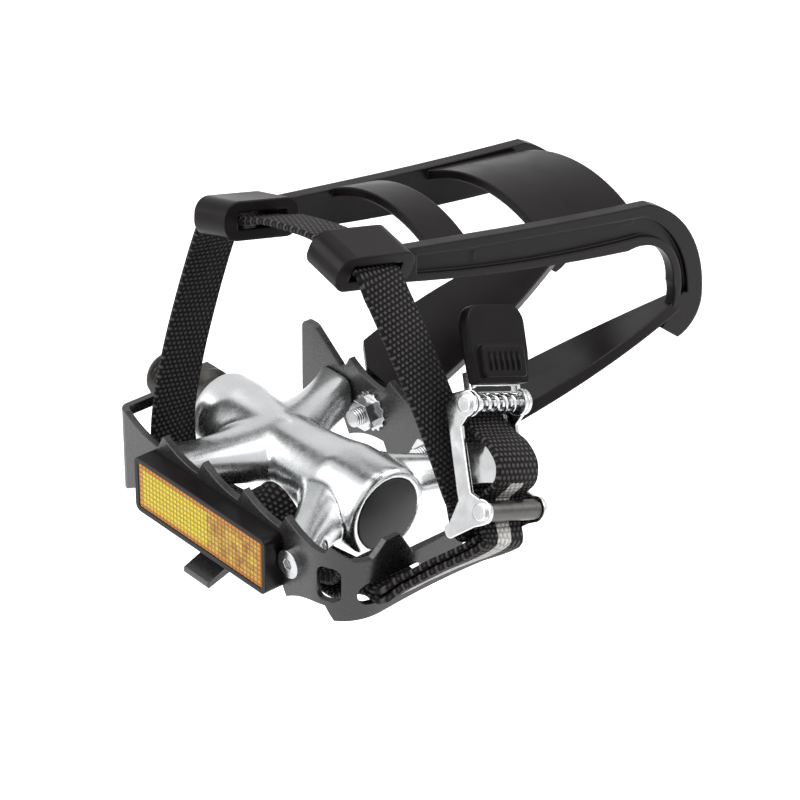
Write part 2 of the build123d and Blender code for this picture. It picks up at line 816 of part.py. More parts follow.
# Buckle: its plane has X across the strap, Y up along the strap and Z away from the shoe
lean = radians(buckle_lean)
tilt = radians(buckle_tilt)
across = (0, cos(lean), -sin(lean))
along = (-sin(tilt), cos(tilt) * sin(lean), cos(tilt) * cos(lean))
away = (cos(tilt), sin(tilt) * sin(lean), sin(tilt) * cos(lean))
buckle = Plane(origin=buckle_centre, x_dir=across, z_dir=away)
strap_face = -cam_radius - strap_gap
strap_line = strap_face - strap_thickness / 2
base_face = strap_face - strap_thickness - strap_gap
base_back = base_face - buckle_sheet
base_top_edge = buckle_pivot + 1.5
base_low_edge = -buckle_pivot + 8.0
bar_place = (-buckle_pivot - 3.0, base_back - 4.4)


def buckle_side(a):
    """A sketch plane across the buckle's pins, with axes up the strap and away from the shoe."""
    return Plane(origin=buckle.from_local_coords((a, 0, 0)), x_dir=along, z_dir=across)


with BuildPart() as buckle_frame:
    for a in (-buckle_half_width - buckle_sheet, buckle_half_width):
        with BuildSketch(buckle_side(a)):
            with BuildLine():
                Polyline(
                    (-buckle_pivot - cheek_radius, 0),
                    (-buckle_pivot - cheek_radius, strap_face),
                    (-buckle_pivot + 4, base_back),
                    (buckle_pivot, base_back),
                    (buckle_pivot + cheek_radius, strap_face),
                    (buckle_pivot + cheek_radius, 0),
                    (buckle_pivot - cheek_radius, 0),
                    (buckle_pivot - cheek_radius - 2, -2.6),
                    (-buckle_pivot + cheek_radius + 2, -2.6),
                    (-buckle_pivot + cheek_radius, 0),
                    close=True,
                )
            make_face()
            with Locations((buckle_pivot, 0), (-buckle_pivot, 0)):
                Circle(cheek_radius)
            with Locations((buckle_pivot, 0), (-buckle_pivot, 0)):
                Circle(pin_radius, mode=Mode.SUBTRACT)
        extrude(amount=buckle_sheet)
    with BuildSketch(buckle.offset(base_back)):
        with Locations((0, (base_top_edge + base_low_edge) / 2)):
            Rectangle(2 * buckle_half_width + buckle_sheet, base_top_edge - base_low_edge)
    extrude(amount=buckle_sheet)
    # Ears and bar for the sewn end of the strap
    for a in (-buckle_half_width - buckle_sheet, buckle_half_width):
        with BuildSketch(buckle_side(a)):
            with BuildLine():
                Polyline(
                    (-buckle_pivot - cheek_radius, strap_face + 1),
                    (bar_place[0] - bar_ear, bar_place[1]),
                    (bar_place[0] + bar_ear, bar_place[1]),
                    (-buckle_pivot + 4, base_back),
                    close=True,
                )
            make_face()
            with Locations(bar_place):
                Circle(bar_ear)
        extrude(amount=buckle_sheet)
    with BuildSketch(buckle_side(-buckle_half_width - buckle_sheet / 2)):
        with Locations(bar_place):
            Circle(bar_radius)
    extrude(amount=2 * buckle_half_width + buckle_sheet)
save(buckle_frame.part, "buckle_frame")

for label, b in (("buckle_pin", buckle_pivot), ("roller_pin", -buckle_pivot)):
    reach = buckle_half_width + buckle_sheet
    with BuildPart() as pin:
        with BuildSketch(buckle_side(-reach - pin_head_height)):
            with Locations((b, 0)):
                Circle(pin_radius)
        extrude(amount=2 * (reach + pin_head_height))
        for a in (-reach - pin_head_height, reach):
            with BuildSketch(buckle_side(a)):
                with Locations((b, 0)):
                    Circle(pin_radius + pin_head_lip)
            extrude(amount=pin_head_height)
    save(pin.part, label)

with BuildPart() as buckle_roller:
    with BuildSketch(buckle_side(-roller_length / 2)):
        with Locations((-buckle_pivot, 0)):
            Circle(roller_radius)
            Circle(pin_radius + pin_clearance, mode=Mode.SUBTRACT)
    extrude(amount=roller_length)
save(buckle_roller.part, "buckle_roller")


def on_cam(radius, turn):
    """A point of the cam, at an angle from the side that meets the strap."""
    return (buckle_pivot - radius * sin(radians(turn)), -radius * cos(radians(turn)))


# Cam lever: two ears on the pin, a toothed plate on the strap side and a tongue for the thumb tab
with BuildPart() as buckle_lever:
    for a in (-lever_half_width, lever_half_width - lever_sheet):
        with BuildSketch(buckle_side(a)):
            with Locations((buckle_pivot, 0)):
                Circle(cam_radius - 0.2)
            with Locations((buckle_pivot + 4, 0)):
                Rectangle(8, 2 * tongue_face)
            with Locations((buckle_pivot, 0)):
                Circle(pin_radius + pin_clearance, mode=Mode.SUBTRACT)
        extrude(amount=lever_sheet)
    with BuildSketch(buckle_side(-lever_half_width)):
        with BuildLine():
            inner_arc = [on_cam(cam_plate, turn) for turn in (-60, -15, 30)]
            outer_arc = [on_cam(cam_radius, turn) for turn in (-60, -15, 30)]
            ThreePointArc(*inner_arc)
            Line(inner_arc[2], outer_arc[2])
            ThreePointArc(*reversed(outer_arc))
            Line(outer_arc[0], inner_arc[0])
        make_face()
    extrude(amount=2 * lever_half_width)
    # Teeth: grooves along the cam plate
    for turn in (-48, -32, -16, 0, 16):
        with BuildSketch(buckle_side(-lever_half_width)):
            with Locations(on_cam(cam_radius, turn)):
                Circle(cam_groove)
        extrude(amount=2 * lever_half_width, mode=Mode.SUBTRACT)
    with BuildSketch(buckle.offset(tongue_face - lever_sheet)):
        with Locations((0, buckle_pivot + cam_radius + tongue_length / 2 + 0.5)):
            Rectangle(2 * lever_half_width, tongue_length)
    extrude(amount=lever_sheet)
save(buckle_lever.part, "buckle_lever")

# Thumb tab moulded on the tongue, with a raised ribbed pad
tab_start = buckle_pivot + 4.4
with BuildPart() as thumb_tab:
    with BuildSketch(buckle.offset(tongue_face)):
        with BuildLine():
            FilletPolyline(
                (-tab_width / 2 + 1, tab_start),
                (tab_width / 2 - 1, tab_start),
                (tab_width / 2, tab_start + 8),
                (tab_width / 2, tab_start + tab_length),
                (-tab_width / 2, tab_start + tab_length),
                (-tab_width / 2, tab_start + 8),
                radius=[1.0, 1.0, 2.0, tab_corner, tab_corner, 2.0],
                close=True,
            )
        make_face()
    extrude(amount=tab_thickness)
    with BuildSketch(buckle.offset(tongue_face + tab_thickness)):
        with Locations((0, tab_start + 5.5)):
            RectangleRounded(tab_width - 2 * tab_pad_margin, tab_pad_length, 1.2)
    extrude(amount=tab_pad_height)
    fillet(thumb_tab.faces().sort_by(Axis(buckle.origin, buckle.z_dir))[-1].edges(), 0.5)
save(thumb_tab.part, "thumb_tab")

# Torsion spring wound on the pin
spring_length = 2 * (lever_half_width - lever_sheet) - 1.0
spring_mid = pin_radius + spring_gap + spring_wire
coil_start = buckle.from_local_coords((-spring_length / 2, buckle_pivot, 0))
with BuildPart() as buckle_spring:
    with BuildLine() as coil:
        Helix(spring_length / spring_coils, spring_length, spring_mid, center=coil_start, direction=across)
    with BuildSketch(Plane(origin=coil.line @ 0, z_dir=coil.line % 0)):
        Circle(spring_wire)
    sweep()
save(buckle_spring.part, "buckle_spring")


def on_buckle(b, c):
    """A point of the strap at the buckle, with the strap's lean there."""
    return buckle.from_local_coords((0, b, c)), buckle_lean


def in_loop(side, out):
    """A point of the strap in a loop's tunnel, with the strap's lean there."""
    return loop_plane(side).from_local_coords((side * out, 0, 0)), loop_pitch


def at(x, y, z, turned=0.0):
    """A point of the strap, with the lean of its width about X."""
    return Vector(x, y, z), turned


def between(start, end, share, bow=(0, 0, 0)):
    """A point of the strap on its way between two places, bowed off the straight line."""
    swell = 4 * share * (1 - share)
    point = start[0] + (end[0] - start[0]) * share + Vector(*bow) * swell
    return point, start[1] + (end[1] - start[1]) * share


# Strap: one flat band from the bar of the buckle up through both loops, down to the cage, through its
# slot, round the base of the buckle, and back through the slot
half = strap_thickness / 2
layer = half + strap_gap
slot_y = -strap_slot_offset
slot_low = strap_slot_level - layer
slot_high = strap_slot_level + layer
slot_outside = cage_outboard + cage_thickness
slot_inside = cage_outboard - cage_thickness - 1.0
back_line = base_back - layer
bar_turn = bar_radius + layer
fold_top = base_top_edge + layer
fold_middle = base_back + buckle_sheet / 2
under = -barrel_outer_radius + strap_gap
second = under + strap_thickness + strap_gap
strap_left = cage_inboard + cage_thickness + 4.5
tunnel_end = loop_width / 2 + strap_gap
sewn = on_buckle(bar_place[0] + 9, bar_place[1] - bar_turn - 0.8)
left_top = in_loop(-1, tunnel_end + strap_stand_off)
first_out = at(slot_outside - 1.2, slot_y, slot_high)
first_up = on_buckle(-buckle_pivot - 6, base_back + 0.6)
last_down = on_buckle(-buckle_pivot - 7.6, strap_line + 0.5)
last_in = at(slot_outside, slot_y, slot_low)
bottom = at(slot_inside - 20, slot_y, second)
corner = at(strap_left + 11, -strap_rear, second + 0.8)
hump_start = at(inner_root, -strap_rear, second + 1.4)
hump_end = at(outer_root + 6, -strap_rear, second + 1.4)
hump_top = at((hump_start[0].X + hump_end[0].X) / 2, -strap_rear, second + 1.4 + strap_hump, strap_hump_tilt)
route = [
    on_buckle(bar_place[0] + 4, bar_place[1] + bar_turn),
    on_buckle(bar_place[0], bar_place[1] + bar_turn),
    on_buckle(bar_place[0] - bar_turn * 0.75, bar_place[1] + bar_turn * 0.7),
    on_buckle(bar_place[0] - bar_turn, bar_place[1]),
    on_buckle(bar_place[0] - bar_turn * 0.75, bar_place[1] - bar_turn * 0.7),
    on_buckle(bar_place[0], bar_place[1] - bar_turn),
    sewn,
]
for share in (0.3, 0.55, 0.8, 0.9):
    route.append(between(sewn, in_loop(1, tunnel_end), share, (strap_bow, 0, 0)))
route += [
    in_loop(1, tunnel_end),
    in_loop(1, -tunnel_end),
    between(in_loop(1, -tunnel_end), in_loop(-1, -tunnel_end), 0.25, (0, 0, strap_bow)),
    between(in_loop(1, -tunnel_end), in_loop(-1, -tunnel_end), 0.75, (0, 0, strap_bow)),
    in_loop(-1, -tunnel_end),
    in_loop(-1, tunnel_end),
    left_top,
]
for share in (0.08, 0.2, 0.38, 0.6, 0.8, 0.94):
    ease = share * share * (3 - 2 * share)
    route.append(
        at(
            strap_left + (left_top[0].X - strap_left) * (1 - share) ** 5,
            left_top[0].Y + (-strap_rear - left_top[0].Y) * ease,
            left_top[0].Z * (1 - share),
            loop_pitch * (1 - share),
        )
    )
route += [
    at(strap_left + 1, -strap_rear, second + 6),
    at(strap_left + 4.5, -strap_rear, second + 1.9),
    corner,
    hump_start,
    between(hump_start, hump_top, 0.5),
    hump_top,
    between(hump_top, hump_end, 0.5),
    hump_end,
    bottom,
    at(slot_inside - 13, slot_y, second + 2.6),
    at(slot_inside - 8, slot_y - 0.8, slot_high + 2.0),
    at(slot_inside - 3.5, slot_y - 0.4, slot_high + 2.4),
    at(slot_inside, slot_y, slot_high),
    first_out,
    between(first_out, first_up, 0.2),
    between(first_out, first_up, 0.5),
    first_up,
    on_buckle(-buckle_pivot - 0.5, base_back + 0.9),
    on_buckle(-buckle_pivot + 5.5, back_line),
    on_buckle(2, back_line),
    on_buckle(base_top_edge - 1, back_line),
    on_buckle(fold_top - 0.4, back_line + 0.5),
    on_buckle(fold_top, fold_middle),
    on_buckle(fold_top - 0.4, strap_line - 0.5),
    on_buckle(base_top_edge - 1, strap_line),
    on_buckle(10.5, strap_line + 0.1),
    on_buckle(6.5, -1.6),
    on_buckle(2.5, 2.6),
    on_buckle(-2.5, 4.8),
    on_buckle(-7.0, 3.4),
    on_buckle(-10.0, -2.4),
    on_buckle(-buckle_pivot, strap_line + 0.7),
    last_down,
    between(last_down, last_in, 0.5),
    between(last_down, last_in, 0.8),
    last_in,
    at(slot_inside, slot_y, slot_low),
    at(slot_inside - 5.5, slot_y, slot_low - 2.4),
    at(slot_inside - 12, slot_y, under + 0.5),
    at(slot_inside - 20, slot_y, under),
    at(tail_end, slot_y - 1.2, under),
]
steps = [(after[0] - before[0]).normalized() for before, after in zip(route, route[1:])]
steps = [steps[0]] + steps + [steps[-1]]
with BuildPart() as strap:
    for number in reversed(range(len(route))):
        point, turned = route[number]
        run = (steps[number] + steps[number + 1]).normalized()
        width = Vector(0, cos(radians(turned)), -sin(radians(turned)))
        width = width - run * width.dot(run)
        with BuildSketch(Plane(origin=point, x_dir=width, z_dir=run)):
            Rectangle(strap_width, strap_thickness)
    loft(ruled=True)
save(strap.part, "strap")
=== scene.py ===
import math

import bmesh
import bpy
from bpy.props import FloatProperty, FloatVectorProperty, IntProperty, PointerProperty
from mathutils import Matrix, Vector


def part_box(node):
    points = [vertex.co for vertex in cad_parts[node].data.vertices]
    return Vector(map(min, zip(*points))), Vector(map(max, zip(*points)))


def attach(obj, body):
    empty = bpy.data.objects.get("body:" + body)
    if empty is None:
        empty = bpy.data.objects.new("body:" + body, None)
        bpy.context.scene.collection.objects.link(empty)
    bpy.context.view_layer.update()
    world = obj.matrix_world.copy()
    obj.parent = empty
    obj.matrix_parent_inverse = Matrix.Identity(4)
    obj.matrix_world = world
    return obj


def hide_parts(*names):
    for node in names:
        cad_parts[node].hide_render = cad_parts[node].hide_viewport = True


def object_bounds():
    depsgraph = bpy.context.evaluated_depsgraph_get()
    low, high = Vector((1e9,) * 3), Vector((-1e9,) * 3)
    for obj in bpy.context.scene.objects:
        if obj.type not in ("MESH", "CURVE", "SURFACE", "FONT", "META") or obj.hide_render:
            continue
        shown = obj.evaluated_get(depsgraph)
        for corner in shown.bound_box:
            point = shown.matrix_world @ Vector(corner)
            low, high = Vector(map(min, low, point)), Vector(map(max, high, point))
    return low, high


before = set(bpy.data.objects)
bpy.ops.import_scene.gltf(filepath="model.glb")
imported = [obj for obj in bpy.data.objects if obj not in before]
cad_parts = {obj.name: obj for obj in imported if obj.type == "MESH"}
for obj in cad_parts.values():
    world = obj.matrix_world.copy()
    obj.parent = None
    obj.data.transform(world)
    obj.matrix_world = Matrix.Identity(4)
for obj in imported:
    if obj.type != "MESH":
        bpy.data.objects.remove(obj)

bl_info = {
    "name": "Toe clip pedal",
    "version": (1, 0, 0),
    "blender": (4, 5, 0),
    "location": "View3D > Sidebar > Pedal",
    "description": "Finishes, strap, thread and stage of a bicycle pedal with a toe clip",
    "category": "Object",
}

MM = 0.001
# Too short to count
TINY = 1e-6
CAD_BOX = [list(corner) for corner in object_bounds()]


def linear(code):
    """Turns an sRGB hex colour into the linear values that a shader takes."""
    parts = [int(code[i:i + 2], 16) / 255 for i in (0, 2, 4)]
    return tuple(c / 12.92 if c <= 0.04045 else ((c + 0.055) / 1.055) ** 2.4 for c in parts)


def colour(name, description, code):
    """A colour that can be changed, given as an sRGB hex value."""
    return FloatVectorProperty(
        name=name, description=description, subtype="COLOR", size=3, min=0, max=1, default=linear(code)
    )


def length(name, description, millimetres):
    """A length that can be changed, given in millimetres."""
    return FloatProperty(
        name=name, description=description, unit="LENGTH", precision=4, default=millimetres * MM
    )


def angle(name, description, degrees):
    """An angle that can be changed, given in degrees."""
    return FloatProperty(
        name=name, description=description, subtype="ANGLE", default=math.radians(degrees)
    )


class PedalSizes(bpy.types.PropertyGroup):
    """Sizes of what is added to the solids."""

    strap_width: length("Strap width", "Width of the webbing", 15.0)
    strap_thickness: length("Strap thickness", "Thickness of the webbing", 1.8)
    stripe_width: length("Stripe width", "Width of the stripe printed on the webbing", 5.0)
    weave_across: length("Weave across", "Distance between the yarns across the webbing", 1.6)
    weave_along: length("Weave along", "Distance between the rows of yarns along the webbing", 1.4)
    thread_pitch: length("Thread pitch", "Pitch of the crank thread", 1.27)
    thread_depth: length("Thread depth", "Depth of the crank thread", 0.75)
    bolt_pitch: length("Bolt pitch", "Pitch of the clip bolts' thread", 0.8)
    prism_pitch: length("Prism pitch", "Width of one prism of the reflector", 1.5)
    edge_round: length("Edge rounding", "Rounding of the cage's pressed edges", 0.5)
    cast_voxel: length("Casting voxel", "Fineness of the skin that rounds the casting", 0.5)
    cast_passes: IntProperty(
        name="Casting passes", description="How far the casting's corners flow", default=34
    )


class PedalColours(bpy.types.PropertyGroup):
    """Colours of the finishes."""

    casting: colour("Casting", "Tumbled cast aluminium", "D2D4D5")
    coat: colour("Powder coat", "Black coat of the cage", "0B0A0A")
    nylon: colour("Nylon", "Moulded toe clip", "0F0B0C")
    grained: colour("Grained plastic", "Reflector housing and thumb tab", "0D0A0B")
    # The raised yarns' grey is a painted sheen, lighter than the black nylon itself
    yarn: colour("Yarn", "Raised yarns of the webbing", "504C4D")
    yarn_gap: colour("Yarn gap", "Shade between the yarns", "0B0A0A")
    amber: colour("Amber", "Bright half of the reflector", "D3BE04")
    deep_amber: colour("Deep amber", "Dark half of the reflector", "B99A27")
    rim_amber: colour("Rim amber", "Edge of the reflector, without prisms behind it", "C58004")
    chrome: colour("Chrome", "Plated buckle", "E2E3E4")
    zinc: colour("Zinc", "Plated bolts, nuts and screws", "C6C7C8")
    thread: colour("Thread steel", "Spindle and its thread", "4E4D4B")
    ink: colour("Ink", "Plain stripe printed on the webbing", "D8D6D3")
    cap: colour("Cap", "Moulded dust cap", "292728")


class PedalCamera(bpy.types.PropertyGroup):
    """The camera and the floor."""

    azimuth: angle("Azimuth", "Angle round the pedal", 48.65)
    elevation: angle("Elevation", "Angle above the floor", 30.72)
    roll: angle("Roll", "Turn of the camera about its view", 0.57)
    distance: length("Distance", "From the camera to its target", 857.25)
    focal: FloatProperty(
        name="Focal length", description="Lens of the camera, on a 36 mm sensor", unit="CAMERA",
        default=143.8,
    )
    target: FloatVectorProperty(
        name="Target", description="Point at the middle of the picture", subtype="TRANSLATION",
        default=(0.07454, 0.01334, 0.02553),
    )
    floor_drop: length("Floor drop", "From the lowest point to the floor, clear of the turning clip", 115.0)


WHITE = (*linear("FFFFFF"), 1)
# Most values of a noise lie between these two, and a finish spreads them over its own range
NOISE_LOW, NOISE_HIGH = 0.3, 0.7
# Rays with which a finish feels for the edges that it rounds
EDGE_RAYS = 8


def fill(tree, node, inputs):
    """Sets inputs of a node. A socket that is given for one is linked to it."""
    for key, value in inputs.items():
        if isinstance(value, bpy.types.NodeSocket):
            tree.links.new(value, node.inputs[key])
        else:
            node.inputs[key].default_value = value


def add_node(tree, kind, inputs=None, stops=(), **settings):
    """Adds a shader node with its settings, its links and, where it has them, its colour stops."""
    made = tree.nodes.new("ShaderNode" + kind)
    for key, value in settings.items():
        setattr(made, key, value)
    for i, (position, tint) in enumerate(stops):
        made.color_ramp.elements[i].position = position
        made.color_ramp.elements[i].color = (*tint, 1)
    fill(tree, made, inputs or {})
    return made


def shader_of(material):
    """The shader of a material."""
    return next(node for node in material.node_tree.nodes if node.type == "BSDF_PRINCIPLED")


def new_finish(name):
    """A bare material with its nodes and its shader."""
    material = bpy.data.materials.new(name)
    material.use_nodes = True
    return material, material.node_tree, shader_of(material)


def shade(tint, amount):
    """A darker or lighter tone of a colour."""
    return tuple(min(1.0, c * amount) for c in tint)


def cast_aluminium(tint):
    # Die-cast aluminium, tumbled and polished by hand: bright metal with broad soft highlights over slow
    # waves in the surface
    material, tree, shader = new_finish("cast_aluminium_tumbled")
    place = add_node(tree, "TexCoord").outputs["Object"]
    waves, polish = (
        add_node(
            tree, "TexNoise", {"Vector": place, "Scale": 1 / (size_mm * MM), "Detail": 2.0}
        ).outputs["Fac"]
        for size_mm in (9.0, 2.5)
    )
    tone = add_node(
        tree, "ValToRGB", {"Fac": waves}, stops=((NOISE_LOW, shade(tint, 0.9)), (NOISE_HIGH, tint))
    )
    rough = add_node(tree, "MapRange", {
        "Value": polish, "From Min": NOISE_LOW, "From Max": NOISE_HIGH, "To Min": 0.24, "To Max": 0.30,
    })
    bump = add_node(tree, "Bump", {"Height": waves, "Distance": 0.10 * MM, "Strength": 0.5})
    fill(tree, shader, {
        "Base Color": tone.outputs["Color"],
        "Metallic": 1.0,
        "Roughness": rough.outputs["Result"],
        "Normal": bump.outputs["Normal"],
    })
    return material


def powder_coat(tint, edge_round):
    # Powder coat on pressed steel: even black with a soft sheen and a faint orange peel, and rounded edges
    # with a
    # painted highlight: the colour is lighter where the surface is pointed
    material, tree, shader = new_finish("steel_black_powder_coat")
    place = add_node(tree, "TexCoord").outputs["Object"]
    peel = add_node(
        tree, "TexNoise", {"Vector": place, "Scale": 1 / (0.8 * MM), "Detail": 0.0}
    ).outputs["Fac"]
    edge = add_node(tree, "NewGeometry").outputs["Pointiness"]
    # Painted highlight: the black is lightened up to fourfold along pointed edges, standing in for light
    # caught there
    tone = add_node(tree, "ValToRGB", {"Fac": edge}, stops=((0.52, tint), (0.62, shade(tint, 4.0))))
    rough = add_node(tree, "MapRange", {
        "Value": peel, "From Min": NOISE_LOW, "From Max": NOISE_HIGH, "To Min": 0.26, "To Max": 0.36,
    })
    rounded = add_node(tree, "Bevel", {"Radius": edge_round}, samples=EDGE_RAYS)
    bump = add_node(tree, "Bump", {
        "Height": peel, "Distance": 0.02 * MM, "Strength": 0.3, "Normal": rounded.outputs["Normal"],
    })
    fill(tree, shader, {
        "Base Color": tone.outputs["Color"],
        "Roughness": rough.outputs["Result"],
        "Specular IOR Level": 0.6,
        "Normal": bump.outputs["Normal"],
    })
    return material


def moulded_plastic(name, tint, smoothest, roughest, gloss=0.16, edge_mm=0.5):
    # Plastic or rubber moulded in a spark-eroded tool: dull black with a fine even grain and rounded edges.
    # The grain is drawn coarser than the real one, which is too fine to show
    material, tree, shader = new_finish(name)
    place = add_node(tree, "TexCoord").outputs["Object"]
    fine, broad = (
        add_node(
            tree, "TexNoise", {"Vector": place, "Scale": 1 / (size_mm * MM), "Detail": detail}
        ).outputs["Fac"]
        for size_mm, detail in ((0.6, 1.0), (14.0, 2.0))
    )
    tone = add_node(
        tree, "ValToRGB", {"Fac": broad},
        stops=((NOISE_LOW, shade(tint, 0.85)), (NOISE_HIGH, shade(tint, 1.2))),
    )
    rough = add_node(tree, "MapRange", {
        "Value": broad, "From Min": NOISE_LOW, "From Max": NOISE_HIGH,
        "To Min": smoothest, "To Max": roughest,
    })
    rounded = add_node(tree, "Bevel", {"Radius": edge_mm * MM}, samples=EDGE_RAYS)
    bump = add_node(tree, "Bump", {
        "Height": fine, "Distance": 0.04 * MM, "Strength": 0.5, "Normal": rounded.outputs["Normal"],
    })
    fill(tree, shader, {
        "Base Color": tone.outputs["Color"],
        "Roughness": rough.outputs["Result"],
        "Specular IOR Level": gloss,
        "Normal": bump.outputs["Normal"],
    })
    return material


def worked_steel(name, tint, smoothest, roughest, cloud_mm, edge_mm=0.0):
    # Plated, ground or rolled steel: clean metal with a slight cloudiness where the work was uneven
    material, tree, shader = new_finish(name)
    place = add_node(tree, "TexCoord").outputs["Object"]
    cloud = add_node(
        tree, "TexNoise", {"Vector": place, "Scale": 1 / (cloud_mm * MM), "Detail": 3.0}
    ).outputs["Fac"]
    tone = add_node(
        tree, "ValToRGB", {"Fac": cloud}, stops=((NOISE_LOW, shade(tint, 0.8)), (NOISE_HIGH, tint))
    )
    rough = add_node(tree, "MapRange", {
        "Value": cloud, "From Min": NOISE_LOW, "From Max": NOISE_HIGH,
        "To Min": smoothest, "To Max": roughest,
    })
    fill(tree, shader, {
        "Base Color": tone.outputs["Color"],
        "Metallic": 1.0,
        "Roughness": rough.outputs["Result"],
    })
    if edge_mm:
        # Stamped pieces leave the plating drum with dented faces and rounded edges
        dents = add_node(tree, "TexNoise", {"Vector": place, "Scale": 1 / (5.0 * MM), "Detail": 1.0})
        rounded = add_node(tree, "Bevel", {"Radius": edge_mm * MM}, samples=EDGE_RAYS)
        bump = add_node(tree, "Bump", {
            "Height": dents.outputs["Fac"], "Distance": 0.25 * MM, "Strength": 0.6,
            "Normal": rounded.outputs["Normal"],
        })
        fill(tree, shader, {"Normal": bump.outputs["Normal"]})
    return material


def threaded_zinc(tint, pitch):
    # Zinc plated machine thread: bright steel with fine even ridges along the shank
    material = worked_steel("steel_zinc_threaded", tint, 0.16, 0.26, 4.0)
    tree = material.node_tree
    place = add_node(tree, "SeparateXYZ", {0: add_node(tree, "TexCoord").outputs["Object"]})
    turn = add_node(tree, "Math", {0: place.outputs["Y"], 1: 2 * math.pi / pitch}, operation="MULTIPLY")
    ridge = add_node(tree, "Math", {0: turn.outputs["Value"]}, operation="SINE")
    bump = add_node(tree, "Bump", {"Height": ridge.outputs["Value"], "Distance": 0.2 * MM, "Strength": 1.0})
    fill(tree, shader_of(material), {"Normal": bump.outputs["Normal"]})
    return material


def woven_nylon(sizes, raised_with_sheen, gap, ink, stripe_from, stripe_to):
    # Nylon webbing in a plain weave of thick yarns: rows of small dull pillows, painted lighter grey on
    # their crowns as sheen and dark in the gaps between them as shade, and a plain printed stripe on the
    # part that comes out of the buckle. The map of the strap is in millimetres across and along the webbing
    material, tree, shader = new_finish("nylon_webbing_plain_weave")
    place = add_node(tree, "UVMap", uv_map="webbing").outputs["UV"]
    per_mm = (MM / sizes.weave_across, MM / sizes.weave_along, 0)
    scaled = add_node(tree, "VectorMath", {0: place, 1: per_mm}, operation="MULTIPLY")
    apart = add_node(tree, "SeparateXYZ", {0: scaled.outputs["Vector"]})
    # Each row of yarns stands half a yarn beside the one before
    row = add_node(tree, "Math", {0: apart.outputs["Y"]}, operation="FLOOR")
    beside = add_node(
        tree, "Math", {0: row.outputs["Value"], 1: 0.5, 2: apart.outputs["X"]}, operation="MULTIPLY_ADD"
    )
    bulge = []
    for along in (beside.outputs["Value"], apart.outputs["Y"]):
        turn = add_node(tree, "Math", {0: along, 1: math.pi}, operation="MULTIPLY")
        wave = add_node(tree, "Math", {0: turn.outputs["Value"]}, operation="SINE")
        hump = add_node(tree, "Math", {0: wave.outputs["Value"]}, operation="ABSOLUTE")
        bulge.append(hump.outputs["Value"])
    height = add_node(tree, "Math", {0: bulge[0], 1: bulge[1]}, operation="MULTIPLY").outputs["Value"]
    # Painted shade and sheen: dark in the gaps between yarns and lighter grey on their crowns. The printed
    # stripe is likewise painted darker in the gaps
    yarn = add_node(tree, "ValToRGB", {"Fac": height}, stops=((0.3, gap), (1.0, raised_with_sheen)))
    inked = add_node(tree, "ValToRGB", {"Fac": height}, stops=((0.0, shade(ink, 0.6)), (0.4, ink)))
    flat = add_node(tree, "SeparateXYZ", {0: place})
    off_middle = add_node(tree, "Math", {0: flat.outputs["X"]}, operation="ABSOLUTE")
    half_stripe = sizes.stripe_width / MM / 2
    printed = add_node(
        tree, "Math", {0: off_middle.outputs["Value"], 1: half_stripe}, operation="LESS_THAN"
    ).outputs["Value"]
    for limit, side in ((stripe_from, "GREATER_THAN"), (stripe_to, "LESS_THAN")):
        past = add_node(tree, "Math", {0: flat.outputs["Y"], 1: limit}, operation=side)
        printed = add_node(
            tree, "Math", {0: printed, 1: past.outputs["Value"]}, operation="MULTIPLY"
        ).outputs["Value"]
    face = add_node(
        tree, "Mix", {"Factor": printed, "A": yarn.outputs["Color"], "B": inked.outputs["Color"]},
        data_type="RGBA",
    )
    bump = add_node(tree, "Bump", {"Height": height, "Distance": 0.6 * MM, "Strength": 1.0})
    fill(tree, shader, {
        "Base Color": face.outputs["Result"],
        "Roughness": 0.6,
        "Specular IOR Level": 0.12,
        "Normal": bump.outputs["Normal"],
    })
    return material


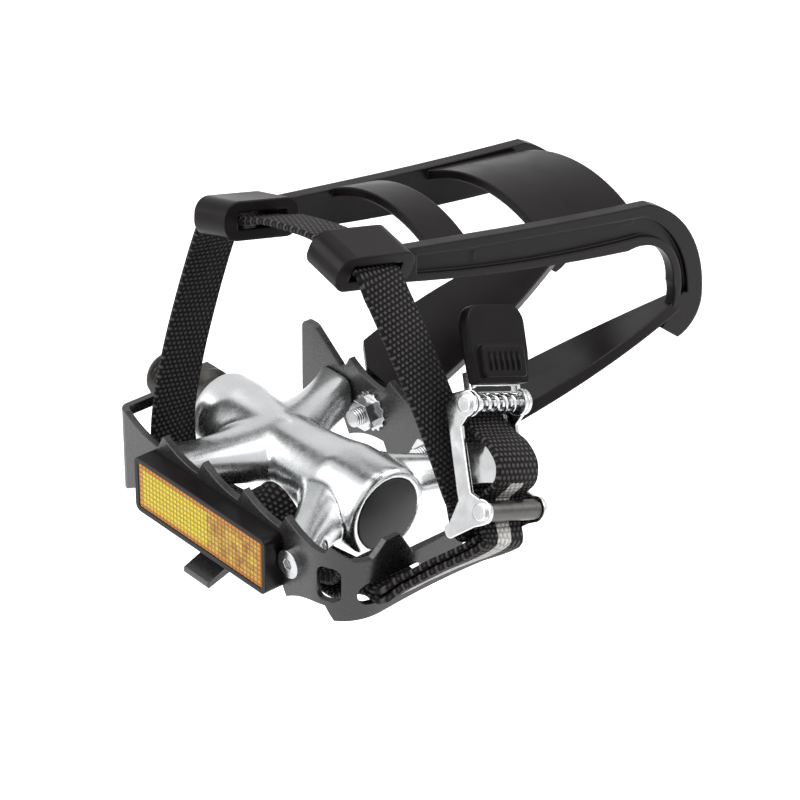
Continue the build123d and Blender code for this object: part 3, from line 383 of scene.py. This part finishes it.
def amber_prisms(sizes, bright, deep, rim):
    # Moulded clear amber acrylic with rows of small prisms behind a smooth face: a sparkling grid, bright
    # where the prisms send the light back and deeper where they are turned away, inside an orange rim
    material, tree, shader = new_finish("acrylic_amber_prisms")
    place = add_node(tree, "TexCoord").outputs["Object"]
    apart = add_node(tree, "SeparateXYZ", {0: place})
    flat = add_node(tree, "CombineXYZ", {"X": apart.outputs["X"], "Y": apart.outputs["Z"]})
    cells = add_node(
        tree, "TexVoronoi",
        {"Vector": flat.outputs["Vector"], "Scale": 1 / sizes.prism_pitch, "Randomness": 0.0},
        voronoi_dimensions="2D", distance="CHEBYCHEV",
    ).outputs["Distance"]
    mottle = add_node(tree, "TexNoise", {"Vector": place, "Scale": 1 / (3.0 * MM), "Detail": 4.0})
    cloudy = add_node(
        tree, "ValToRGB", {"Fac": mottle.outputs["Fac"]},
        stops=((0.35, shade(rim, 0.65)), (0.65, shade(deep, 1.3))),
    )
    low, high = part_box("reflector_lens")
    # The prisms turn away just outboard of the middle
    turn_at = low.x + 0.56 * (high.x - low.x)
    blur = 0.4 * MM
    side = add_node(tree, "MapRange", {
        "Value": apart.outputs["X"], "From Min": turn_at - blur, "From Max": turn_at + blur,
    })
    halves = add_node(
        tree, "Mix", {"Factor": side.outputs["Result"], "A": (*bright, 1), "B": cloudy.outputs["Color"]},
        data_type="RGBA",
    )
    # Where the rim begins and where it is plain, from the edge inwards
    rim_from, rim_plain = 2.0 * MM, 1.0 * MM
    near_edge = []
    for axis, start, end in (("X", low.x, high.x), ("Z", low.z, high.z)):
        half = (end - start) / 2
        off = add_node(tree, "Math", {0: apart.outputs[axis], 1: (start + end) / 2}, operation="SUBTRACT")
        off = add_node(tree, "Math", {0: off.outputs["Value"]}, operation="ABSOLUTE")
        near_edge.append(add_node(tree, "MapRange", {
            "Value": off.outputs["Value"], "From Min": half - rim_from, "From Max": half - rim_plain,
        }).outputs["Result"])
    outside = add_node(tree, "Math", {0: near_edge[0], 1: near_edge[1]}, operation="MAXIMUM")
    rimmed = add_node(
        tree, "Mix", {"Factor": outside.outputs["Value"], "A": halves.outputs["Result"], "B": (*rim, 1)},
        data_type="RGBA",
    )
    spark = add_node(
        tree, "ValToRGB", {"Fac": cells}, stops=((0.26, linear("FFFFFF")), (0.46, linear("958161")))
    )
    tinted = add_node(
        tree, "Mix", {"Factor": 0.85, "A": rimmed.outputs["Result"], "B": spark.outputs["Color"]},
        data_type="RGBA", blend_type="MULTIPLY",
    )
    bump = add_node(tree, "Bump", {"Height": cells, "Distance": 0.4 * MM, "Strength": 0.7})
    fill(tree, shader, {
        "Base Color": tinted.outputs["Result"],
        "Roughness": 0.22,
        "Specular IOR Level": 0.1,
        "Coat Weight": 0.15,
        "Coat Roughness": 0.04,
        "Normal": bump.outputs["Normal"],
    })
    return material


def dress(node_names, material):
    """Gives CAD nodes a finish."""
    for name in node_names:
        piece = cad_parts[name]
        piece.data.materials.clear()
        piece.data.materials.append(material)


def skin(build, rings):
    """Joins closed rings of points. Gives each face with the ring and place of its corners."""
    made = []
    for i in range(len(rings) - 1):
        around = len(rings[i])
        for j in range(around):
            k = (j + 1) % around
            corners = ((i, j), (i, k), (i + 1, k), (i + 1, j))
            made.append((build.faces.new([rings[ring][at] for ring, at in corners]), corners))
    return made


def new_piece(name, build, material, body, slot, *nodes):
    """Makes an object from a bmesh, gives it its finish and sets it on a CAD body."""
    mesh = bpy.data.meshes.new(name)
    build.to_mesh(mesh)
    build.free()
    piece = bpy.data.objects.new(name, mesh)
    bpy.context.scene.collection.objects.link(piece)
    mesh.materials.append(material)
    for face in mesh.polygons:
        face.use_smooth = True
    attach(piece, body)
    if nodes:
        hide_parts(*nodes)
    return piece


class PEDAL_OT_casting(bpy.types.Operator):
    """Finish the cast body"""

    bl_idname = "pedal.casting"
    bl_label = "Cast body"

    def execute(self, context):
        sizes = context.scene.pedal_sizes
        dress(["pedal_body"], cast_aluminium(context.scene.pedal_colours.casting))
        # The draft and radii of the casting run its arms and barrel into each other
        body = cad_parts["pedal_body"]
        cover = body.modifiers.new("cast_skin", "REMESH")
        cover.mode = "VOXEL"
        cover.voxel_size = sizes.cast_voxel
        cover.use_smooth_shade = True
        flow = body.modifiers.new("cast_radii", "SMOOTH")
        flow.factor = 0.5
        flow.iterations = sizes.cast_passes
        return {"FINISHED"}


class PEDAL_OT_bearings(bpy.types.Operator):
    """Finish the bearings, the seal and the dust cap"""

    bl_idname = "pedal.bearings"
    bl_label = "Bearings and cap"

    def execute(self, context):
        tints = context.scene.pedal_colours
        ground = worked_steel("bearing_steel_ground", tints.chrome, 0.10, 0.18, 6.0)
        dress(["inner_balls", "outer_balls", "inner_cup", "outer_cup", "outer_cone"], ground)
        dress(["lock_washer", "lock_nut"], worked_steel("steel_zinc_locknut", tints.zinc, 0.3, 0.45, 2.0))
        dress(["inner_seal"], moulded_plastic("rubber_moulded_seal", tints.grained, 0.55, 0.7))
        dress(["dust_cap"], moulded_plastic("nylon_moulded_cap", tints.cap, 0.36, 0.46, 0.3))
        return {"FINISHED"}


# The crank thread: rings along it and points round it, how far it takes to reach its depth, the share of
# its depth that it starts with, and the slope of the chamfer on its end
THREAD_RINGS, THREAD_AROUND = 110, 64
THREAD_RUN_OUT = 1.3 * MM
THREAD_START = 0.25
THREAD_CHAMFER = 0.8
# The spindle seats on the crank at the origin, and its thread is clear of the seat from here on
SEAT_CLEAR = 2.0 * MM


class PEDAL_OT_spindle(bpy.types.Operator):
    """Make the spindle with its rolled crank thread"""

    bl_idname = "pedal.spindle"
    bl_label = "Spindle"

    def execute(self, context):
        sizes = context.scene.pedal_sizes
        tints = context.scene.pedal_colours
        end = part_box("spindle")[0].x
        build = bmesh.new()
        build.from_mesh(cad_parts["spindle"].data)
        plain = [face for face in build.faces if face.calc_center_median().x < -TINY]
        reach = max(
            math.hypot(v.co.y, v.co.z) for face in plain for v in face.verts if v.co.x < -SEAT_CLEAR
        )
        bmesh.ops.delete(build, geom=plain, context="FACES")
        rings = []
        for i in range(THREAD_RINGS + 1):
            x = end - end * i / THREAD_RINGS
            fade = max(0.0, min(1.0, (x - end) / THREAD_RUN_OUT + THREAD_START, -x / THREAD_RUN_OUT))
            chamfer = max(0.0, THREAD_RUN_OUT - (x - end)) * THREAD_CHAMFER
            ring = []
            for j in range(THREAD_AROUND):
                turn = 2 * math.pi * j / THREAD_AROUND
                phase = (x / sizes.thread_pitch + j / THREAD_AROUND) % 1.0
                radius = reach - sizes.thread_depth * abs(2 * phase - 1) * fade - chamfer
                ring.append(build.verts.new((x, radius * math.cos(turn), radius * math.sin(turn))))
            rings.append(ring)
        skin(build, rings)
        build.faces.new(list(reversed(rings[0])))
        bmesh.ops.recalc_face_normals(build, faces=build.faces)
        steel = worked_steel("alloy_steel_rolled_thread", tints.thread, 0.32, 0.5, 1.5)
        piece = new_piece("spindle_with_thread", build, steel, "spindle", "spindle_steel", "spindle")
        piece.data.set_sharp_from_angle(angle=math.radians(30))
        return {"FINISHED"}


class PEDAL_OT_cage(bpy.types.Operator):
    """Finish the cage"""

    bl_idname = "pedal.cage"
    bl_label = "Cage"

    def execute(self, context):
        coat = powder_coat(context.scene.pedal_colours.coat, context.scene.pedal_sizes.edge_round)
        dress(["cage"], coat)
        return {"FINISHED"}


class PEDAL_OT_fasteners(bpy.types.Operator):
    """Finish the bolts, nuts, washers and screws"""

    bl_idname = "pedal.fasteners"
    bl_label = "Fasteners"

    def execute(self, context):
        tints = context.scene.pedal_colours
        zinc = worked_steel("steel_zinc_plated", tints.zinc, 0.16, 0.26, 4.0, 0.3)
        dress(["cage_screws", "clip_lock_washers", "clip_nuts", "reflector_nuts"], zinc)
        dress(["clip_bolts"], threaded_zinc(tints.zinc, context.scene.pedal_sizes.bolt_pitch))
        return {"FINISHED"}


class PEDAL_OT_reflector(bpy.types.Operator):
    """Finish the reflector"""

    bl_idname = "pedal.reflector"
    bl_label = "Reflector"

    def execute(self, context):
        tints = context.scene.pedal_colours
        sizes = context.scene.pedal_sizes
        dress(["reflector_housing"], moulded_plastic("abs_moulded_housing", tints.grained, 0.3, 0.42))
        dress(["reflector_lens"], amber_prisms(sizes, tints.amber, tints.deep_amber, tints.rim_amber))
        return {"FINISHED"}


class PEDAL_OT_toe_clip(bpy.types.Operator):
    """Finish the moulded toe clip"""

    bl_idname = "pedal.toe_clip"
    bl_label = "Toe clip"

    def execute(self, context):
        tints = context.scene.pedal_colours
        dress(["toe_clip"], moulded_plastic("nylon_moulded_clip", tints.nylon, 0.28, 0.4, 0.12, 0.8))
        return {"FINISHED"}


# The buckle's middle in millimetres, its turns in degrees, and the ways up along it and out from it
BUCKLE_CENTRE = Vector((122.7, 5.9, 33.4))
BUCKLE_LEAN, BUCKLE_TILT = 20.0, 33.0
LEAN, TILT = math.radians(BUCKLE_LEAN), math.radians(BUCKLE_TILT)
BUCKLE_UP = Vector((-math.sin(TILT), math.cos(TILT) * math.sin(LEAN), math.cos(TILT) * math.cos(LEAN)))
BUCKLE_OUT = Vector((math.cos(TILT), math.sin(TILT) * math.sin(LEAN), math.sin(TILT) * math.cos(LEAN)))
# The middle of the thumb tab's pad, up and out
TAB_PAD = (23.9, 5.7)
# Ribs on the pad, in millimetres: how far they are sunk and how far they rise, their length and half width
# at the foot and at the top
RIBS = 6
RIB_PITCH = 2.1
RIB_ENDS = ((-0.4, 5.2, 0.7), (0.5, 4.576, 0.35))
RIB_CORNERS = ((-1, -1), (-1, 1), (1, 1), (1, -1))
RIB_FACES = ((3, 2, 1, 0), (4, 5, 6, 7), (0, 1, 5, 4), (1, 2, 6, 5), (2, 3, 7, 6), (3, 0, 4, 7))
RIB_ROUND = 0.12


class PEDAL_OT_buckle(bpy.types.Operator):
    """Finish the cam buckle, and rib its thumb tab"""

    bl_idname = "pedal.buckle"
    bl_label = "Buckle"

    def execute(self, context):
        tints = context.scene.pedal_colours
        chrome = worked_steel("steel_bright_chrome", tints.chrome, 0.08, 0.16, 4.0, 0.5)
        dress(["buckle_frame", "buckle_lever", "buckle_pin", "roller_pin", "buckle_spring"], chrome)
        dull = worked_steel("steel_dull_roller", shade(tints.thread, 1.4), 0.3, 0.42, 3.0)
        dress(["buckle_roller"], dull)
        tab = moulded_plastic("nylon_moulded_tab", tints.grained, 0.34, 0.46, 0.08, 0.9)
        dress(["thumb_tab"], tab)
        pad = BUCKLE_CENTRE + BUCKLE_UP * TAB_PAD[0] + BUCKLE_OUT * TAB_PAD[1]
        across = BUCKLE_UP.cross(BUCKLE_OUT)
        build = bmesh.new()
        for k in range(RIBS):
            middle = pad + across * (k - (RIBS - 1) / 2) * RIB_PITCH
            corners = [
                build.verts.new((
                    middle + BUCKLE_OUT * rise + BUCKLE_UP * along * long / 2 + across * side * half_width
                ) * MM)
                for rise, long, half_width in RIB_ENDS for along, side in RIB_CORNERS
            ]
            for face in RIB_FACES:
                build.faces.new([corners[i] for i in face])
        bmesh.ops.bevel(build, geom=list(build.edges), offset=RIB_ROUND * MM, segments=2, affect="EDGES")
        bmesh.ops.recalc_face_normals(build, faces=build.faces)
        new_piece("thumb_tab_ribs", build, tab, "cam_lever", "black_plastic")
        return {"FINISHED"}


# The strap's way through the pedal, in millimetres: place, and lean of its width about X in degrees.
# First the bar that it is sewn to, up and out on the buckle, with the strap's turn about it
BAR_UP, BAR_OUT = -17.0, -11.6
BAR_TURN = 2.3
LOOP_LEAN = 14.0
# Rows on which the strap runs under the body, and the heights of its two layers there
SLOT_Y, REAR_Y = -17.0, -20.0
FIRST_LAYER, TAIL_LAYER = -10.9, -13.0


def on_buckle(up, out):
    """A point of the strap at the buckle, with the lean of its width."""
    return (*(BUCKLE_CENTRE + BUCKLE_UP * up + BUCKLE_OUT * out), BUCKLE_LEAN)


def between(start, end, shares, bow=(0, 0, 0)):
    """Points of the strap on its way between two places, bowed off the straight line."""
    start, end, bow = Vector(start), Vector(end), Vector((*bow, 0))
    return [start.lerp(end, share) + bow * 4 * share * (1 - share) for share in shares]


def down_the_left(top, bottom_x, shares):
    """Points of the strap as it eases back and down from the inboard loop to the cage."""
    made = []
    for share in shares:
        ease = share * share * (3 - 2 * share)
        made.append((
            bottom_x + (top[0] - bottom_x) * (1 - share) ** 5,
            top[1] + (REAR_Y - top[1]) * ease,
            top[2] * (1 - share),
            LOOP_LEAN * (1 - share),
        ))
    return made


SEWN = on_buckle(BAR_UP + 9, BAR_OUT - BAR_TURN - 0.8)
RIGHT_LOOP = ((86.8, -5.8, 76.1, LOOP_LEAN), (73.9, -5.1, 79.0, LOOP_LEAN))
LEFT_LOOP = ((40.1, -5.1, 72.6, LOOP_LEAN), (27.2, -5.8, 69.7, LOOP_LEAN), (24.3, -6.0, 69.0, LOOP_LEAN))
ARCH = (
    (41, REAR_Y, FIRST_LAYER + 1.4, 0),
    (55.5, REAR_Y, FIRST_LAYER + 7.4, -36),
    (70, REAR_Y, FIRST_LAYER + 1.4, 0),
)
FIRST_OUT = (107.8, SLOT_Y, -2.8, 0)
FIRST_UP = on_buckle(-20, -6.6)
STRIPE_START = on_buckle(-7.0, 3.4)
LAST_DOWN = on_buckle(-21.6, -4.4)
LAST_IN = (109, SLOT_Y, -5.2, 0)
STRAP_WAY = [
    # Sewn round the bar of the buckle
    on_buckle(BAR_UP + 4, BAR_OUT + BAR_TURN),
    on_buckle(BAR_UP, BAR_OUT + BAR_TURN),
    on_buckle(BAR_UP - BAR_TURN, BAR_OUT),
    on_buckle(BAR_UP, BAR_OUT - BAR_TURN),
    SEWN,
    # Up through the two loops of the clip and down on the inboard side
    *between(SEWN, RIGHT_LOOP[0], (0.3, 0.55, 0.8, 0.9), (2.2, 0, 0)),
    *RIGHT_LOOP,
    *between(RIGHT_LOOP[1], LEFT_LOOP[0], (0.25, 0.75), (0, 0, 2.2)),
    *LEFT_LOOP,
    *down_the_left(LEFT_LOOP[2], 17.0, (0.08, 0.2, 0.38, 0.6, 0.8, 0.94)),
    # Under the body, with an arch behind the barrel
    (18, REAR_Y, FIRST_LAYER + 6, 0),
    (21.5, REAR_Y, FIRST_LAYER + 1.9, 0),
    (28, REAR_Y, FIRST_LAYER + 0.8, 0),
    ARCH[0],
    *between(ARCH[0], ARCH[1], (0.5,)),
    ARCH[1],
    *between(ARCH[1], ARCH[2], (0.5,)),
    ARCH[2],
    # Out through the slot of the cage
    (84, SLOT_Y, FIRST_LAYER, 0),
    (91, SLOT_Y, FIRST_LAYER + 2.6, 0),
    (96, SLOT_Y - 0.8, -0.8, 0),
    (100.5, SLOT_Y - 0.4, -0.4, 0),
    (104, SLOT_Y, -2.8, 0),
    FIRST_OUT,
    *between(FIRST_OUT, FIRST_UP, (0.2, 0.5)),
    FIRST_UP,
    # Up the buckle, over its roller and down past the cam
    on_buckle(-14.5, -6.3),
    on_buckle(-8.5, -8.4),
    on_buckle(2, -8.4),
    on_buckle(14.5, -8.4),
    on_buckle(16.7, -6.65),
    on_buckle(14.5, -4.9),
    on_buckle(10.5, -4.8),
    on_buckle(6.5, -1.6),
    on_buckle(2.5, 2.6),
    on_buckle(-2.5, 4.8),
    STRIPE_START,
    on_buckle(-10.0, -2.4),
    on_buckle(-14, -4.2),
    LAST_DOWN,
    # Back through the slot, beneath itself
    *between(LAST_DOWN, LAST_IN, (0.5, 0.8)),
    LAST_IN,
    (104, SLOT_Y, -5.2, 0),
    (98.5, SLOT_Y, -7.6, 0),
    (92, SLOT_Y, TAIL_LAYER + 0.5, 0),
    (84, SLOT_Y, TAIL_LAYER, 0),
    (41, SLOT_Y - 1.2, TAIL_LAYER, 0),
]
# Length between two rows of points of the strap
STRAP_STEP = 1.0
# Length that is left of the round tip of the strap at its last point
TIP_LEFT = 0.15
# Section of the webbing, in shares of its half width and half thickness: flat faces and rounded selvedges
SECTION = (
    (-1, 0.35), (-0.94, 0.95), (0, 1), (0.94, 0.95), (1, 0.35),
    (1, -0.35), (0.94, -0.95), (0, -1), (-0.94, -0.95), (-1, -0.35),
)


def smooth_way(way):
    """Evenly spaced points of a smooth line through the given ones, each with its lean."""
    way = [Vector(point) for point in way]
    made = []
    for i in range(len(way) - 1):
        start, end = way[i], way[i + 1]
        span = (end - start).xyz.length
        lead = tail = end - start
        if i > 0:
            before = way[i - 1]
            lead = (end - before) * 0.5 * min(1.0, span / max((start - before).xyz.length, TINY))
        if i < len(way) - 2:
            after = way[i + 2]
            tail = (after - start) * 0.5 * min(1.0, span / max((after - end).xyz.length, TINY))
        count = max(2, round(span / STRAP_STEP))
        for k in range(count):
            t = k / count
            made.append(
                start * (2 * t ** 3 - 3 * t ** 2 + 1) + lead * (t ** 3 - 2 * t ** 2 + t)
                + end * (3 * t ** 2 - 2 * t ** 3) + tail * (t ** 3 - t ** 2)
            )
    made.append(way[-1])
    return made


class PEDAL_OT_strap(bpy.types.Operator):
    """Lay the woven strap through the cage, the loops and the buckle"""

    bl_idname = "pedal.strap"
    bl_label = "Strap"

    def execute(self, context):
        sizes = context.scene.pedal_sizes
        tints = context.scene.pedal_colours
        points = smooth_way(STRAP_WAY)
        whole = sum((b - a).xyz.length for a, b in zip(points, points[1:]))
        half = sizes.strap_width / 2
        thick = sizes.strap_thickness / 2
        build = bmesh.new()
        layer = build.loops.layers.uv.new("webbing")
        rings, runs, run = [], [], 0.0
        for i, point in enumerate(points):
            place = point.xyz
            back = points[max(i - 1, 0)].xyz
            ahead = points[min(i + 1, len(points) - 1)].xyz
            way = (ahead - back).normalized()
            lean = math.radians(point.w)
            across = Vector((0, math.cos(lean), -math.sin(lean)))
            across = (across - way * across.dot(way)).normalized()
            face = way.cross(across)
            run += (place - back).length
            # The tail ends in a half round
            left = min(1.0, max(whole - run, TIP_LEFT) * MM / half)
            wide = half * math.sqrt(1 - (1 - left) ** 2)
            rings.append([
                build.verts.new(place * MM + across * wide * a + face * thick * b) for a, b in SECTION
            ])
            runs.append(run)
        for quad, corners in skin(build, rings):
            for loop, (ring, at) in zip(quad.loops, corners):
                loop[layer].uv = (SECTION[at][0] * half / MM, runs[ring])
        build.faces.new(list(reversed(rings[0])))
        build.faces.new(rings[-1])
        bmesh.ops.recalc_face_normals(build, faces=build.faces)
        stripe = [
            runs[min(range(len(points)), key=lambda i: (points[i].xyz - Vector(end[:3])).length)]
            for end in (STRIPE_START, LAST_IN)
        ]
        webbing = woven_nylon(sizes, tints.yarn, tints.yarn_gap, tints.ink, *stripe)
        new_piece("strap_webbing", build, webbing, "pedal", "black_webbing", "strap")
        return {"FINISHED"}


SENSOR_WIDTH = 36.0
FLOOR_REACH = 4.0
# What the floor adds to the light on it where the camera or a reflection looks at it
FLOOR_GLOW = 0.6
# The world's light on the pedal, and the world as the camera or a reflection sees it
WORLD_FILL, WORLD_SEEN = 0.35, 1.0
# Name, place from the pedal's middle and width in metres, power in watts
LAMPS = (
    ("rear_left_softbox", (-0.35, -0.75, 0.45), 0.9, 7.5),
    ("top_softbox", (0.1, 0.1, 0.9), 1.4, 6.0),
    ("front_right_softbox", (0.5, 0.58, 0.62), 0.6, 7.0),
)


def background_ray(tree):
    """One where the camera, a reflection or a clear piece looks at the background."""
    path = add_node(tree, "LightPath")
    seen = path.outputs["Is Camera Ray"]
    for kind in ("Is Glossy Ray", "Is Transmission Ray"):
        either = add_node(tree, "Math", {0: seen, 1: path.outputs[kind]}, operation="MAXIMUM")
        seen = either.outputs["Value"]
    return seen


def white_paper():
    # Matt white paper: even and without gloss, near white to the camera and in reflections, and it keeps
    # the shadow
    material, tree, shader = new_finish("paper_white_floor")
    glow = add_node(tree, "MapRange", {"Value": background_ray(tree), "To Min": 0.0, "To Max": FLOOR_GLOW})
    fill(tree, shader, {
        "Base Color": (*linear("F4F4F4"), 1),
        "Roughness": 0.9,
        "Specular IOR Level": 0.0,
        "Emission Color": WHITE,
        "Emission Strength": glow.outputs["Result"],
    })
    return material


class PEDAL_OT_stage(bpy.types.Operator):
    """Set the floor, the lamps and the camera"""

    bl_idname = "pedal.stage"
    bl_label = "Stage"

    def execute(self, context):
        scene = context.scene
        view = scene.pedal_camera
        low, high = (Vector(corner) for corner in CAD_BOX)
        middle = (low + high) / 2
        scene.view_settings.view_transform = "Standard"
        out = Vector((
            math.sin(view.azimuth) * math.cos(view.elevation),
            -math.cos(view.azimuth) * math.cos(view.elevation),
            math.sin(view.elevation),
        ))
        data = bpy.data.cameras.new("camera")
        data.lens = view.focal
        data.sensor_width = SENSOR_WIDTH
        data.sensor_fit = "HORIZONTAL"
        camera = bpy.data.objects.new("camera", data)
        scene.collection.objects.link(camera)
        turn = (-out).to_track_quat("-Z", "Y").to_matrix().to_4x4() @ Matrix.Rotation(view.roll, 4, "Z")
        camera.matrix_world = Matrix.Translation(Vector(view.target) + out * view.distance) @ turn
        scene.camera = camera
        build = bmesh.new()
        bmesh.ops.create_grid(build, x_segments=1, y_segments=1, size=FLOOR_REACH)
        mesh = bpy.data.meshes.new("floor")
        build.to_mesh(mesh)
        build.free()
        mesh.materials.append(white_paper())
        floor = bpy.data.objects.new("floor", mesh)
        floor.location = (0, 0, low.z - view.floor_drop)
        scene.collection.objects.link(floor)
        # White surroundings for the camera and for reflections, a plain level for the rest
        world = bpy.data.worlds.new("studio")
        world.use_nodes = True
        tree = world.node_tree
        tree.nodes.clear()
        level = add_node(tree, "MapRange", {
            "Value": background_ray(tree), "To Min": WORLD_FILL, "To Max": WORLD_SEEN,
        })
        shine = add_node(tree, "Background", {"Color": WHITE, "Strength": level.outputs["Result"]})
        add_node(tree, "OutputWorld", {"Surface": shine.outputs["Background"]})
        scene.world = world
        for name, place, width, power in LAMPS:
            lamp = bpy.data.lights.new(name, "AREA")
            lamp.shape = "DISK"
            lamp.size = width
            lamp.energy = power
            stand = bpy.data.objects.new(name, lamp)
            stand.location = middle + Vector(place)
            stand.rotation_euler = (middle - stand.location).to_track_quat("-Z", "Y").to_euler()
            scene.collection.objects.link(stand)
        return {"FINISHED"}


STEPS = (
    "casting", "bearings", "spindle", "cage", "fasteners", "reflector", "toe_clip", "buckle", "strap",
    "stage",
)


class PEDAL_PT_panel(bpy.types.Panel):
    """The pedal's steps, sizes, colours and camera"""

    bl_label = "Toe clip pedal"
    bl_idname = "PEDAL_PT_panel"
    bl_space_type = "VIEW_3D"
    bl_region_type = "UI"
    bl_category = "Pedal"

    def draw(self, context):
        for step in STEPS:
            self.layout.operator("pedal." + step)
        for group in (context.scene.pedal_sizes, context.scene.pedal_colours, context.scene.pedal_camera):
            for key in group.__annotations__:
                self.layout.prop(group, key)


CLASSES = (
    PedalSizes,
    PedalColours,
    PedalCamera,
    PEDAL_OT_casting,
    PEDAL_OT_bearings,
    PEDAL_OT_spindle,
    PEDAL_OT_cage,
    PEDAL_OT_fasteners,
    PEDAL_OT_reflector,
    PEDAL_OT_toe_clip,
    PEDAL_OT_buckle,
    PEDAL_OT_strap,
    PEDAL_OT_stage,
    PEDAL_PT_panel,
)


def register():
    for item in CLASSES:
        bpy.utils.register_class(item)
    bpy.types.Scene.pedal_sizes = PointerProperty(type=PedalSizes)
    bpy.types.Scene.pedal_colours = PointerProperty(type=PedalColours)
    bpy.types.Scene.pedal_camera = PointerProperty(type=PedalCamera)


def unregister():
    del bpy.types.Scene.pedal_camera
    del bpy.types.Scene.pedal_colours
    del bpy.types.Scene.pedal_sizes
    for item in reversed(CLASSES):
        bpy.utils.unregister_class(item)


def main():
    register()
    for step in STEPS:
        getattr(bpy.ops.pedal, step)()


if __name__ == "__main__":
    main()
